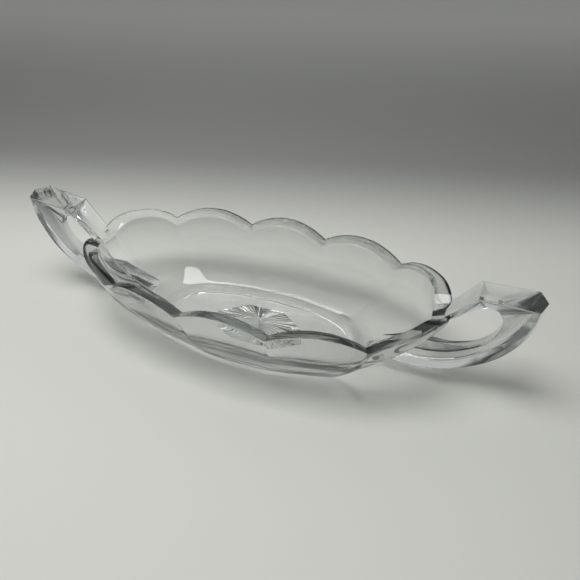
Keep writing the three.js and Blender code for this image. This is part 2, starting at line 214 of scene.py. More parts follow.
class HandleShape(bpy.types.PropertyGroup):
    """Sizes of the loop handles."""

    foot_setback: length("Foot setback", "Distance of the handle's foot from the end flat's edge", 1.6)
    bar_run: length("Bar run", "How far the rising bar runs outwards", 10.3)
    bar_rise: length("Bar rise", "How far the bar rises above the end flat", 13.8)
    bar_thickness: length("Bar thickness", "Thickness of the rising bar", 4.5)
    bar_root_height: length("Bar root height", "Height where the bar's underside leaves the wall", 22)
    thumb_rest_length: length("Thumb rest length", "Length of the flat on top of the handle", 21.5)
    thumb_rest_thickness: length("Thumb rest thickness", "Glass between the thumb rest and the hole", 6.8)
    tip_reach: length("Tip reach", "How far the pointed tip stands out", 2.8)
    right_tip_lift: length("Right tip lift", "How much the right tip rises above its thumb rest", 0.2)
    left_tip_lift: length("Left tip lift", "How much the left tip rises above its thumb rest", 3.4)
    end_thickness: length("End thickness", "Glass between the hole and the handle's end", 10.3)
    end_drop: length("End drop", "Height of the end facet below the thumb rest", 3)
    arm_reach: length("Arm reach", "How far the arm's curve reaches outwards", 41)
    arm_low_height: length("Arm low height", "Height of the arm's lowest edge", 4.8)
    arm_depth: length("Arm depth", "Depth of the arm where it is lowest", 13.7)
    half_width: length("Half-width", "Half the width of the handle's outer face", 7)
    foot_burial: length("Foot burial", "How deep the handle's foot reaches into the rim", 3.5)
    hole_end_run: length("Hole end run", "Length of the finger hole's rounded end", 7)
    hole_end_rise: length("Hole end rise", "Height of the finger hole's rounded end", 6)
    hole_low_run: length("Hole low run", "Length of the finger hole's lower curve", 21)
    hole_edge_half_width: length("Hole edge half-width", "Half the width of the edge round the hole", 1.7)
    edge_round: length("Edge round", "Rounding of the handle's inner edges", 0.6)
    edge_support: length("Edge support", "Flat strip kept beside each rounded edge", 0.5)
    bar_round: length("Bar round", "Rounding of the bar's outer edges at its foot", 2.0)
    rest_round: length("Thumb rest round", "Rounding of the thumb rest's edges at the peak", 1.2)
    tip_round: length("Tip round", "Rounding of the outer edges at the tip", 0.8)
    arm_round: length("Arm round", "Rounding of the arm's outer edges where it is lowest", 4.5)
    round_turn: turning("Round turn", "Turn from the tip at which the arm is fully rounded", 55)
    ridge_fade: turning("Ridge fade", "Turn from the tip at which the end ridge has faded", 50)


class GlassFinish(bpy.types.PropertyGroup):
    """Colour and surface of the glass."""

    tint: colour("Tint", "Colour of the glass", (0.985, 0.995, 0.99))
    bending: number("Index of refraction", "How strongly the glass bends light", 1.5, 2.0)
    depth_tint: colour("Depth tint", "Colour that light takes on inside the glass", (0.215, 0.26, 0.235))
    depth_density: number("Depth density", "How fast the glass takes up light, per metre", 25.0, 100.0)
    bowl_waves: number("Bowl waves", "How close the bowl's waves lie, per metre", 70.0, 500.0)
    bowl_wave_depth: length("Bowl wave depth", "Depth of the bowl's waves", 0.04)
    bowl_smear: share("Bowl smear", "Roughness of the smears on the bowl", 0.03)
    base_waves: number("Base waves", "How close the base's waves lie, per metre", 90.0, 500.0)
    base_wave_depth: length("Base wave depth", "Depth of the base's waves", 0.03)
    base_smear: share("Base smear", "Roughness of the smears on the base", 0.04)
    handle_waves: number("Handle waves", "How close the handles' waves lie, per metre", 80.0, 500.0)
    handle_wave_depth: length("Handle wave depth", "Depth of the handles' waves", 0.04)
    handle_smear: share("Handle smear", "Roughness of the smears on the handles", 0.03)


class StageSetup(bpy.types.PropertyGroup):
    """Floor and light."""

    # Painted shade: the floor darkens behind the dish, for a backdrop's shaded bend.
    near_floor: colour("Near floor", "Colour of the floor round the dish", (0.655, 0.66, 0.62))
    painted_shade_floor: colour("Floor bend", "Colour of the floor at its darkest", (0.265, 0.269, 0.262))
    far_floor: colour("Far floor", "Colour of the floor far behind", (0.58, 0.585, 0.565))
    floor_gloss: share("Floor gloss", "How strongly the floor reflects", 0.2)
    grain_scale: number("Floor grain", "How fine the floor's grain is, per metre", 900.0, 5000.0)
    grain_depth: length("Floor grain depth", "How deep the floor's grain is", 0.02)
    low_roughness: share("Low roughness", "Roughness of the smoothest spots of the floor", 0.75)
    high_roughness: share("High roughness", "Roughness of the roughest spots of the floor", 0.95)
    # Where the painted shade behind the dish begins, is darkest, and fades again far behind.
    fall_start: length("Fall start", "Distance behind the dish at which the floor begins to darken", 60)
    fall_end: length("Fall end", "Distance behind the dish at which the floor is darkest", 205)
    rise_start: length("Rise start", "Distance behind the dish at which the floor grows paler again", 240)
    rise_end: length("Rise end", "Distance behind the dish at which the floor is palest", 800)
    horizon: colour("Horizon", "Light from low at the sides and back", (0.05, 0.051, 0.05))
    upper: colour("Upper wall", "Light from high at the sides and back", (0.58, 0.586, 0.574))
    right_wall: colour("Right wall", "Light from the right", (0.85, 0.86, 0.84))
    ceiling: colour("Ceiling", "Light from straight above", (0.3, 0.304, 0.3))
    front: colour("Front", "Light from the dim space in front", (0.03, 0.032, 0.034))
    lamp_length: length("Lamp length", "Length of the panel overhead", 300)
    lamp_width: length("Lamp width", "Width of the panel overhead", 200)
    lamp_front: length("Lamp front", "How far in front of the dish the panel hangs", 60)
    lamp_left: length("Lamp left", "How far left of the dish the panel hangs", 80)
    lamp_height: length("Lamp height", "Height of the panel over the floor", 450)
    lamp_power: FloatProperty(
        name="Lamp power",
        description="Power of the panel",
        default=1.4,
        unit="POWER",
        subtype="POWER",
        min=0.0,
    )


# Shapes of the bowl.

def crest(along, fullness):
    """Nought at both ends of a scallop and one at its crest."""
    return 1 - abs(2 * along - 1) ** fullness


def mix(first, second, amount):
    """A value between two others."""
    return first + (second - first) * amount


def oval_corners(end, shoulder, middle):
    """Twelve corners of the oval, counter-clockwise from the right end, each with its side."""
    quarter = [Corner(*end, "end"), Corner(*shoulder, "long"), Corner(*middle, "long")]
    half = quarter + [
        Corner(-corner.x, corner.y, corner.z, side)
        for corner, side in zip(reversed(quarter), ("long", "end", "flat"))
    ]
    return half + [Corner(-corner.x, -corner.y, corner.z, corner.side) for corner in half]


def side_normals(corners):
    """Outward normal of each side of a counter-clockwise outline."""
    normals = []
    for index, corner in enumerate(corners):
        after = corners[(index + 1) % len(corners)]
        along = Vector((after.x - corner.x, after.y - corner.y)).normalized()
        normals.append(Vector((along.y, -along.x)))
    return normals


def offset_corners(corners, distances, lift):
    """The same corners with every side moved outwards by its own distance."""
    normals = side_normals(corners)
    moved = []
    for index, corner in enumerate(corners):
        before, after = normals[index - 1], normals[index]
        reach_before = distances[corners[index - 1].side]
        reach_after = distances[corner.side]
        bend = before.dot(after)
        even = reach_after / (1 + bend)
        slip = 0 if reach_before == reach_after else (reach_before - reach_after) / (1 - bend * bend)
        shift = before * (even + slip) + after * (even - bend * slip)
        moved.append(Corner(corner.x + shift.x, corner.y + shift.y, corner.z + lift, corner.side))
    return moved


def outline(shape, corners, swells, rises):
    """Points along the closed outline, closer together near its cusps."""
    normals = side_normals(corners)
    points = []
    for index, corner in enumerate(corners):
        after = corners[(index + 1) % len(corners)]
        steps = FLAT_STEPS if corner.side == "flat" else SCALLOP_STEPS
        fullness = shape.end_scallop_fullness if corner.side == "end" else shape.scallop_fullness
        for step in range(steps):
            even = step / steps
            along = even - CUSP_EASE * math.sin(math.tau * even) / math.tau
            swell = swells[corner.side] * crest(along, shape.scallop_fullness)
            rise = rises[corner.side] * crest(along, fullness)
            points.append(Vector((
                mix(corner.x, after.x, along) + normals[index].x * swell,
                mix(corner.y, after.y, along) + normals[index].y * swell,
                mix(corner.z, after.z, along) + rise,
            )))
    return points


def evenly(distance):
    """The same distance for every kind of side."""
    return {"long": distance, "end": distance, "flat": distance}


def rim_corners(shape):
    """Cusps of the rim's outside edge."""
    return oval_corners(
        (shape.end_flat_x, shape.end_flat_half_width, shape.end_flat_height),
        (shape.shoulder_cusp_x, shape.shoulder_cusp_y, shape.cusp_height),
        (shape.middle_cusp_x, shape.middle_cusp_y, shape.cusp_height),
    )


def rim_rises(shape):
    """Height of the crests, for each kind of side."""
    return {"long": shape.scallop_rise, "end": shape.end_scallop_rise, "flat": 0.0}


def rim_outline(shape):
    """The rim's outside edge."""
    swells = {"long": shape.scallop_swell, "end": shape.end_scallop_swell, "flat": 0.0}
    return outline(shape, rim_corners(shape), swells, rim_rises(shape))


def inside_rim_outline(shape):
    """The rim's inside edge."""
    widths = {"long": -shape.rim_width, "end": -shape.rim_width, "flat": -shape.end_flat_width}
    swells = {
        "long": shape.scallop_swell - shape.inside_swell_ease,
        "end": shape.end_scallop_swell - shape.inside_swell_ease,
        "flat": 0.0,
    }
    corners = offset_corners(rim_corners(shape), widths, -shape.rim_fall)
    return outline(shape, corners, swells, rim_rises(shape))


def base_outline(shape, inset, height):
    """The base's outline, moved inwards and set at a height."""
    corners = oval_corners(
        (shape.base_end_x, shape.base_end_half_width, height),
        (shape.base_shoulder_x, shape.base_shoulder_y, height),
        (shape.base_middle_x, shape.base_middle_y, height),
    )
    swells = {"long": shape.base_panel_swell, "end": shape.base_panel_swell, "flat": 0.0}
    return outline(shape, offset_corners(corners, evenly(-inset), 0.0), swells, evenly(0.0))


def floor_oval(shape, inset, height):
    """A soft-cornered oval inside the floor's crease, one point for each point of the rim."""
    half_length = shape.base_end_x - shape.floor_margin_long - inset
    half_width = shape.base_middle_y - shape.floor_margin_wide - inset
    rim = inside_rim_outline(shape)
    reach_x = max(point.x for point in rim)
    reach_y = max(point.y for point in rim)
    power = 2 / shape.floor_squareness
    ring = []
    for point in rim:
        angle = math.atan2(point.y / reach_y, point.x / reach_x)
        along, across = math.cos(angle), math.sin(angle)
        ring.append(Vector((
            half_length * math.copysign(abs(along) ** power, along),
            half_width * math.copysign(abs(across) ** power, across),
            height,
        )))
    return ring


def wall_ring(top, bottom, depth, curve):
    """One level of a wall that leaves its top edge steeply and turns in towards its bottom edge."""
    inset = depth ** curve
    return [
        Vector((mix(high.x, low.x, inset), mix(high.y, low.y, inset), mix(high.z, low.z, depth)))
        for high, low in zip(top, bottom)
    ]


def ring_between(first, second, amount):
    """A ring part of the way from one ring to another."""
    return [one.lerp(other, amount) for one, other in zip(first, second)]


def rounded_edge(start, corner, finish):
    """Rings that round an edge, from one face to the next, without the two end rings."""
    rings = []
    for step in range(1, EDGE_STEPS):
        amount = step / EDGE_STEPS
        first = ring_between(start, corner, amount)
        second = ring_between(corner, finish, amount)
        rings.append(ring_between(first, second, amount))
    return rings


def panel_seat(shape):
    """Top and bottom rings of the hidden joint between the bowl and the star panel."""
    top = floor_oval(shape, shape.floor_round, shape.floor_height)
    bottom = floor_oval(shape, shape.floor_round + shape.seat_taper, shape.base_recess)
    return top, bottom


def bowl_rings(shape):
    """Rings of the bowl, down the outside and up the inside, and the index of its joint band."""
    rim = rim_outline(shape)
    inside_rim = inside_rim_outline(shape)
    base = base_outline(shape, 0.0, shape.base_edge)
    base_corner = base_outline(shape, BASE_CORNER_SHARE * shape.base_edge, 0.0)
    standing = base_outline(shape, STANDING_SHARE * shape.base_edge, 0.0)
    crease = floor_oval(shape, 0.0, shape.floor_height)
    seat_top, seat_bottom = panel_seat(shape)
    recess = floor_oval(shape, shape.floor_round + shape.seat_taper, 0.0)

    outside_depth = shape.outer_edge_round / shape.cusp_height
    base_depth = 1 - shape.base_edge / shape.cusp_height
    outside = [
        wall_ring(rim, base, mix(outside_depth, base_depth, row / WALL_ROWS), shape.wall_curve)
        for row in range(WALL_ROWS + 1)
    ]
    wall_height = shape.cusp_height - shape.floor_height
    inside_depth = shape.inner_edge_round / wall_height
    floor_depth = 1 - shape.floor_round / wall_height
    inside = [
        wall_ring(inside_rim, crease, mix(floor_depth, inside_depth, row / WALL_ROWS), shape.inside_curve)
        for row in range(WALL_ROWS + 1)
    ]
    band_in = ring_between(inside_rim, rim, shape.inner_edge_round / shape.rim_width)
    band_out = ring_between(rim, inside_rim, shape.outer_edge_round / shape.rim_width)

    under = [*outside, *rounded_edge(outside[-1], base_corner, standing), standing, recess, seat_bottom]
    above = [
        seat_top,
        *rounded_edge(seat_top, crease, inside[0]),
        *inside,
        *rounded_edge(inside[-1], inside_rim, band_in),
        band_in,
        band_out,
        *rounded_edge(band_out, rim, outside[0]),
    ]
    return under + above, len(under) - 1


# Shapes of the star.

def star_reach(star, angle):
    """Distance from the star's centre to its six-sided outline in one direction."""
    along, across = abs(math.cos(angle)), abs(math.sin(angle))
    slope = star.half_width / (star.half_length - star.shoulder_x)
    slanted = star.half_length * slope / (across + along * slope)
    return min(slanted, star.half_width / max(across, SMALLEST_SHARE))


def star_cutter(star, underside):
    """A mesh of the star's shallow recess, with rays from its centre to its outline."""
    points = []
    for step in range(2 * star.rays):
        angle = math.pi * step / star.rays
        reach = star_reach(star, angle)
        depth = star.ridge_depth if step % 2 else star.ray_depth
        points.append(Vector((reach * math.cos(angle), reach * math.sin(angle), underside + depth)))
    below = [Vector((point.x, point.y, underside - star.centre_depth)) for point in points]
    count = len(points)
    vertices = points + below + [Vector((0.0, 0.0, underside + star.centre_depth))]
    faces = [tuple(range(2 * count - 1, count - 1, -1))]
    for index in range(count):
        after = (index + 1) % count
        faces.append((2 * count, index, after))
        faces.append((index, count + index, count + after, after))
    mesh = bpy.data.meshes.new("star_cutter")
    mesh.from_pydata(vertices, [], faces)
    mesh.validate()
    return mesh


# Shapes of the handles, as sections in the upright plane through both handles.

def middle_of_end_wall(bowl, height):
    """The middle of the end wall's glass at a height, which the handle's roots reach."""
    inside_top = bowl.end_flat_height - bowl.rim_fall
    outside_depth = (bowl.end_flat_height - height) / (bowl.end_flat_height - bowl.base_edge)
    inside_depth = min(1.0, (inside_top - height) / (inside_top - bowl.floor_height))
    outside = mix(bowl.end_flat_x, bowl.base_end_x, outside_depth ** bowl.wall_curve)
    floor_end = bowl.base_end_x - bowl.floor_margin_long
    inside = mix(bowl.end_flat_x - bowl.end_flat_width, floor_end, inside_depth ** bowl.inside_curve)
    return Vector(((outside + inside) / 2, height))


def on_oval(centre, half_length, half_height, turn):
    """A point on an oval, turning by degrees from its end at the right."""
    angle = math.radians(turn)
    return centre + Vector((half_length * math.cos(angle), half_height * math.sin(angle)))


def along_bend(start, bend, finish, amount):
    """A point on the smooth curve from start to finish that is pulled towards the bend."""
    return start.lerp(bend, amount).lerp(bend.lerp(finish, amount), amount)


class HandleLoop:
    """Curves of one handle, drawn as at the right end."""

    def __init__(self, bowl, handle, tip_lift):
        self.bowl, self.handle = bowl, handle
        foot = Vector((bowl.end_flat_x - handle.foot_setback, bowl.end_flat_height))
        self.peak = foot + Vector((handle.bar_run, handle.bar_rise))
        corner_lift = tip_lift * handle.thumb_rest_length / (handle.thumb_rest_length + handle.tip_reach)
        self.corner = self.peak + Vector((handle.thumb_rest_length, corner_lift))
        self.tip = Vector((self.corner.x + handle.tip_reach, self.peak.y + tip_lift))

        arm_top = self.peak.y - handle.end_drop
        self.arm_centre = Vector((self.corner.x - handle.arm_reach, arm_top))
        self.arm_height = arm_top - handle.arm_low_height

        nose_x = self.corner.x - handle.end_thickness
        self.hole_top = Vector((nose_x - handle.hole_end_run, self.peak.y - handle.thumb_rest_thickness))
        self.hole_end_centre = self.hole_top - Vector((0.0, handle.hole_end_rise))
        self.hole_low_centre = Vector((nose_x - handle.hole_low_run, self.hole_end_centre.y))
        self.hole_low = handle.arm_low_height + handle.arm_depth
        self.hole_root = middle_of_end_wall(bowl, self.hole_low)

        slope = handle.bar_rise / handle.bar_run
        bar_length = math.hypot(handle.bar_run, handle.bar_rise)
        self.buried_foot = foot - Vector((handle.foot_burial / slope, handle.foot_burial))
        self.under_bar_root = middle_of_end_wall(bowl, handle.bar_root_height)
        self.under_bar_bend = Vector((
            foot.x
            + (self.hole_top.y - foot.y) / slope
            + handle.bar_thickness * bar_length / handle.bar_rise,
            self.hole_top.y,
        ))

    def on_arm(self, turn, ridge=0.0):
        """A point on the arm's outside, or on the ridge that stands out from it."""
        return on_oval(self.arm_centre, self.handle.arm_reach + ridge, self.arm_height + ridge, -turn)

    def on_hole_end(self, turn):
        """A point on the finger hole's rounded end."""
        return on_oval(self.hole_end_centre, self.handle.hole_end_run, self.handle.hole_end_rise, turn)

    def on_hole_low(self, turn):
        """A point on the finger hole's lower curve."""
        half_height = self.hole_low_centre.y - self.hole_low
        return on_oval(self.hole_low_centre, self.handle.hole_low_run, half_height, -turn)

    def bar_section(self, amount):
        """A section of the rising bar, from its buried foot to the peak."""
        outer = self.buried_foot.lerp(self.peak, amount)
        inner = along_bend(self.under_bar_root, self.under_bar_bend, self.hole_top, amount)
        return Section(outer, inner, outer, mix(self.handle.bar_round, self.handle.rest_round, amount))

    def rest_section(self, amount):
        """A section of the thumb rest, from the peak to the corner before the tip."""
        outer = self.peak.lerp(self.corner, amount)
        inner = self.on_hole_end(mix(QUARTER_TURN, CORNER_TURN, amount))
        return Section(outer, inner, outer, mix(self.handle.rest_round, self.handle.tip_round, amount))

    def tip_section(self):
        """The section through the pointed tip."""
        return Section(self.corner, self.on_hole_end(CORNER_TURN), self.tip, self.handle.tip_round)

    def arm_section(self, turn):
        """A section of the arm, turning down from the tip, whose end ridge fades as it goes."""
        past_nose = turn - ARM_NOSE_TURN
        if past_nose < 0:
            inner = self.on_hole_end(CORNER_TURN * -past_nose / (2 * ARM_NOSE_TURN))
        else:
            inner = self.on_hole_low(QUARTER_TURN * past_nose / (ARM_LOW_TURN - ARM_NOSE_TURN))
        handle, turned = self.handle, math.radians(turn)
        fade = max(0.0, 1 - turned / handle.ridge_fade)
        ridge = self.on_arm(turn, handle.tip_reach * fade)
        rounding = mix(handle.tip_round, handle.arm_round, min(1.0, turned / handle.round_turn))
        return Section(self.on_arm(turn), inner, ridge, rounding)

    def run_out_section(self, amount):
        """A section of the arm's low stretch, where it runs in towards the bowl."""
        outer = self.on_arm(mix(ARM_LOW_TURN, QUARTER_TURN, amount))
        hole_end = self.on_hole_low(QUARTER_TURN)
        inner = hole_end.lerp((hole_end + self.hole_root) / 2, amount)
        return Section(outer, inner, outer, self.handle.arm_round)

    def bar_root(self):
        """Sections of the bar's lower half, which the bowl carries."""
        return [self.bar_section(step / BAR_STEPS) for step in range(BAR_STEPS // 2 + 1)]

    def arm_root(self):
        """Sections of the arm's root, which the bowl carries."""
        start = self.run_out_section(1.0)
        foot = middle_of_end_wall(self.bowl, self.handle.arm_low_height)
        sections = []
        for step in range(ROOT_STEPS + 1):
            outer = start.outer.lerp(foot, step / ROOT_STEPS)
            inner = start.inner.lerp(self.hole_root, step / ROOT_STEPS)
            sections.append(Section(outer, inner, outer, self.handle.arm_round))
        return sections

    def sections(self):
        """Sections of the handle itself, with one more beside each crease to keep it crisp."""
        loop = [self.bar_section(step / BAR_STEPS) for step in range(BAR_STEPS // 2, BAR_STEPS)]
        loop += [self.bar_section(amount) for amount in (1 - CREASE_SUPPORT, 1.0)]
        loop.append(self.rest_section(CREASE_SUPPORT))
        loop += [self.rest_section(step / REST_STEPS) for step in range(1, REST_STEPS)]
        loop.append(self.rest_section(1 - CREASE_SUPPORT))
        loop.append(self.tip_section())
        loop += [self.arm_section(ARM_LOW_TURN * step / ARM_STEPS) for step in range(ARM_STEPS + 1)]
        loop += [self.run_out_section(step / ROOT_STEPS) for step in range(1, ROOT_STEPS + 1)]
        return loop


def handle_sides(handle):
    """The side, solid and tip lift of each handle."""
    return (1, "right_handle", handle.right_tip_lift), (-1, "left_handle", handle.left_tip_lift)


def rounded_section(handle, section, side):
    """One closed ring of a handle, with its five edges rounded."""
    edge, face = handle.hole_edge_half_width, handle.half_width
    corners = [
        Vector((side * section.inner.x, edge, section.inner.y)),
        Vector((side * section.outer.x, face, section.outer.y)),
        Vector((side * section.ridge.x, 0.0, section.ridge.y)),
        Vector((side * section.outer.x, -face, section.outer.y)),
        Vector((side * section.inner.x, -edge, section.inner.y)),
    ]
    roundings = [handle.edge_round, section.round, handle.edge_round, section.round, handle.edge_round]
    ring = []
    for index, (corner, rounding) in enumerate(zip(corners, roundings)):
        before = (corners[index - 1] - corner).normalized()
        after = (corners[(index + 1) % len(corners)] - corner).normalized()
        start, finish = corner + before * rounding, corner + after * rounding
        ring.append(start + before * handle.edge_support)
        for step in range(HANDLE_EDGE_STEPS):
            ring.append(along_bend(start, corner, finish, step / (HANDLE_EDGE_STEPS - 1)))
        ring.append(finish + after * handle.edge_support)
    return ring[::-1] if side > 0 else ring


# Meshes.

def mesh_from_rings(name, rings, capped):
    """A closed mesh through rings of equal count, joined end to end or capped at both ends."""
    count = len(rings[0])
    vertices = [point for ring in rings for point in ring]
    faces = []
    for band in range(len(rings) - 1 if capped else len(rings)):
        start, onwards = band * count, (band + 1) % len(rings) * count
        for index in range(count):
            after = (index + 1) % count
            faces.append((start + index, onwards + index, onwards + after, start + after))
    if capped:
        faces.append(tuple(range(count)))
        faces.append(tuple(range(len(vertices) - 1, len(vertices) - count - 1, -1)))
    mesh = bpy.data.meshes.new(name)
    mesh.from_pydata(vertices, [], faces)
    mesh.validate()
    return mesh


def new_piece(name, mesh):
    """An object of the mesh, in the scene."""
    piece = bpy.data.objects.new(name, mesh)
    bpy.context.scene.collection.objects.link(piece)
    return piece


def combine(piece, other, operation):
    """Joins another closed mesh to a piece or cuts it away, and drops the other."""
    change = piece.modifiers.new("combine", "BOOLEAN")
    change.operation = operation
    change.solver = "EXACT"
    change.object = other
    graph = bpy.context.evaluated_depsgraph_get()
    mesh = bpy.data.meshes.new_from_object(piece.evaluated_get(graph))
    if not mesh.polygons:
        raise RuntimeError(f"nothing is left of {piece.name} after the {operation.lower()}")
    piece.modifiers.clear()
    used, piece.data = piece.data, mesh
    mesh.name = piece.name
    bpy.data.meshes.remove(used)
    bpy.data.objects.remove(other)


def mark_band(mesh, band, count):
    """Marks one band of a mesh made from rings as a joint."""
    for polygon in mesh.polygons[band * count:(band + 1) * count]:
        polygon.material_index = JOINT_MARK


def mark_flat(mesh, ring):
    """Marks the faces that lie within a flat ring as a joint."""
    centre = sum(ring, Vector()) / len(ring)
    third = len(ring) // 3
    normal = (ring[0] - centre).cross(ring[third] - centre).normalized()
    reach = max((point - centre).length for point in ring) + JOINT_MARGIN
    for polygon in mesh.polygons:
        corners = [mesh.vertices[vertex].co - centre for vertex in polygon.vertices]
        if all(abs(corner.dot(normal)) < JOINT_FLATNESS and corner.length < reach for corner in corners):
            polygon.material_index = JOINT_MARK


def dress(piece, node, material, smooth=True):
    """Turns a piece's marks into its joint attribute, shades it and lets it stand for its solid."""
    mesh = piece.data
    marks = mesh.attributes.new(JOINT, "FLOAT", "FACE")
    for polygon in mesh.polygons:
        marks.data[polygon.index].value = polygon.material_index
        polygon.material_index = 0
    mesh.materials.clear()
    mesh.materials.append(material)
    mesh.polygons.foreach_set("use_smooth", [smooth] * len(mesh.polygons))
    mesh.set_sharp_from_angle(angle=SHARP_ANGLE)
    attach(piece, "root")
    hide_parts(node)


# Materials.

def feed(tree, node, inputs):
    """Gives a node's inputs plain values, or links them to other nodes' outputs."""
    for name, value in inputs.items():
        if isinstance(value, bpy.types.NodeSocket):
            tree.links.new(value, node.inputs[name])
        else:
            node.inputs[name].default_value = value


def add_node(tree, kind, inputs, **settings):
    """A new node with its settings and inputs."""
    node = tree.nodes.new(kind)
    for name, value in settings.items():
        setattr(node, name, value)
    feed(tree, node, inputs)
    return node


def opaque(tone):
    """A colour as a socket takes it."""
    return (*tone, 1.0)


def eased_range(tree, value, low, high):
    """Nought below the low value and one above the high one, with a soft step between."""
    inputs = {"Value": value, "From Min": low, "From Max": high}
    return add_node(tree, "ShaderNodeMapRange", inputs, interpolation_type="SMOOTHSTEP").outputs["Result"]


def blended(tree, factor, first, second):
    """A colour between two others."""
    inputs = {"Factor": factor, "A": first, "B": second}
    return add_node(tree, "ShaderNodeMix", inputs, data_type="RGBA").outputs["Result"]


def reach_along(tree, place, direction):
    """How far a place lies in a direction."""
    inputs = {0: place, 1: direction}
    return add_node(tree, "ShaderNodeVectorMath", inputs, operation="DOT_PRODUCT").outputs["Value"]


def pressed_surface():
    """Node group: the slow waves, drifting tint and faint smears of a pressed surface."""
    found = bpy.data.node_groups.get("Pressed surface")
    if found:
        return found
    group = bpy.data.node_groups.new("Pressed surface", "ShaderNodeTree")
    for name, way, kind in (
        ("Tint", "INPUT", "NodeSocketColor"),
        ("Wave scale", "INPUT", "NodeSocketFloat"),
        ("Smear", "INPUT", "NodeSocketFloat"),
        ("Colour", "OUTPUT", "NodeSocketColor"),
        ("Roughness", "OUTPUT", "NodeSocketFloat"),
        ("Height", "OUTPUT", "NodeSocketFloat"),
    ):
        group.interface.new_socket(name, in_out=way, socket_type=kind)
    given = group.nodes.new("NodeGroupInput")
    place = group.nodes.new("ShaderNodeTexCoord")
    waves = add_node(group, "ShaderNodeTexNoise", {
        "Vector": place.outputs["Object"],
        "Scale": given.outputs["Wave scale"],
        "Detail": WAVE_DETAIL,
        "Roughness": WAVE_ROUGHNESS,
    })
    smears = add_node(group, "ShaderNodeTexNoise", {
        "Vector": place.outputs["Object"],
        "Scale": SMEAR_SCALE,
        "Detail": SMEAR_DETAIL,
        "Distortion": SMEAR_DISTORTION,
    })
    patches = add_node(group, "ShaderNodeMapRange", {
        "Value": smears.outputs["Fac"],
        "From Min": SMEAR_START,
        "From Max": SMEAR_FULL,
        "To Max": given.outputs["Smear"],
    })
    drift_inputs = {"Factor": TINT_DRIFT, "A": given.outputs["Tint"], "B": smears.outputs["Color"]}
    drift = add_node(group, "ShaderNodeMix", drift_inputs, data_type="RGBA", blend_type="MULTIPLY")
    add_node(group, "NodeGroupOutput", {
        "Colour": drift.outputs["Result"],
        "Roughness": patches.outputs["Result"],
        "Height": waves.outputs["Fac"],
    })
    return group


def glass_material(name, finish, waves, wave_depth, smear):
    """Clear pressed glass that takes up light along its depth and doesn't show its joints."""
    material = bpy.data.materials.new(name)
    material.use_nodes = True
    tree = material.node_tree
    surface_inputs = {"Tint": opaque(finish.tint), "Wave scale": waves, "Smear": smear}
    surface = add_node(tree, "ShaderNodeGroup", surface_inputs, node_tree=pressed_surface())
    bump = add_node(tree, "ShaderNodeBump", {"Height": surface.outputs["Height"], "Distance": wave_depth})
    joint = add_node(tree, "ShaderNodeAttribute", {}, attribute_name=JOINT)
    seen = add_node(tree, "ShaderNodeMath", {0: 1.0, 1: joint.outputs["Fac"]}, operation="SUBTRACT")
    feed(tree, tree.nodes["Principled BSDF"], {
        "Base Color": surface.outputs["Colour"],
        "Roughness": surface.outputs["Roughness"],
        "Normal": bump.outputs["Normal"],
        "Alpha": seen.outputs["Value"],
        "IOR": finish.bending,
        "Transmission Weight": 1.0,
    })
    depth_inputs = {"Color": opaque(finish.depth_tint), "Density": finish.depth_density}
    depth = add_node(tree, "ShaderNodeVolumeAbsorption", depth_inputs)
    feed(tree, tree.nodes["Material Output"], {"Volume": depth.outputs["Volume"]})
    return material


def floor_material(setup, away):
    """Matt pale paper that falls off to grey behind the dish, painted shade for a backdrop's bend."""
    material = bpy.data.materials.new("Pale floor")
    material.use_nodes = True
    tree = material.node_tree
    place = tree.nodes.new("ShaderNodeTexCoord").outputs["Object"]
    grain_inputs = {"Vector": place, "Scale": setup.grain_scale}
    grain = add_node(tree, "ShaderNodeTexNoise", grain_inputs).outputs["Fac"]
    matt_inputs = {"Value": grain, "To Min": setup.low_roughness, "To Max": setup.high_roughness}
    matt = add_node(tree, "ShaderNodeMapRange", matt_inputs)
    bump = add_node(tree, "ShaderNodeBump", {"Height": grain, "Distance": setup.grain_depth})
    # Painted shade: the colour darkens with distance behind the dish, then grows paler again far behind.
    distance = reach_along(tree, place, away)
    fall = eased_range(tree, distance, setup.fall_start, setup.fall_end)
    rise = eased_range(tree, distance, setup.rise_start, setup.rise_end)
    behind = blended(tree, rise, opaque(setup.painted_shade_floor), opaque(setup.far_floor))
    feed(tree, tree.nodes["Principled BSDF"], {
        "Base Color": blended(tree, fall, opaque(setup.near_floor), behind),
        "Roughness": matt.outputs["Result"],
        "Normal": bump.outputs["Normal"],
        "Specular IOR Level": setup.floor_gloss,
    })
    return material


# Operators.

class MakeBowl(bpy.types.Operator):
    """Build the bowl with the roots of both handles"""

    bl_idname = "glass_dish.make_bowl"
    bl_label = "Make bowl"

    def execute(self, context):
        scene = context.scene
        handle, finish = scene.dish_handle, scene.dish_glass
        rings, joint_band = bowl_rings(scene.dish_bowl)
        piece = new_piece("dish_bowl", mesh_from_rings("dish_bowl", rings, capped=False))
        mark_band(piece.data, joint_band, len(rings[0]))
        for side, _, lift in handle_sides(handle):
            loop = HandleLoop(scene.dish_bowl, handle, lift)
            bar_root, arm_root = loop.bar_root(), loop.arm_root()
            for sections, joint in ((bar_root, bar_root[-1]), (arm_root, arm_root[0])):
                root_rings = [rounded_section(handle, section, side) for section in sections]
                root = new_piece("handle_root", mesh_from_rings("handle_root", root_rings, capped=True))
                combine(piece, root, "UNION")
                mark_flat(piece.data, rounded_section(handle, joint, side))
        waves, wave_depth, smear = finish.bowl_waves, finish.bowl_wave_depth, finish.bowl_smear
        glass = glass_material("Bowl glass", finish, waves, wave_depth, smear)
        dress(piece, "bowl", glass)
        return {"FINISHED"}


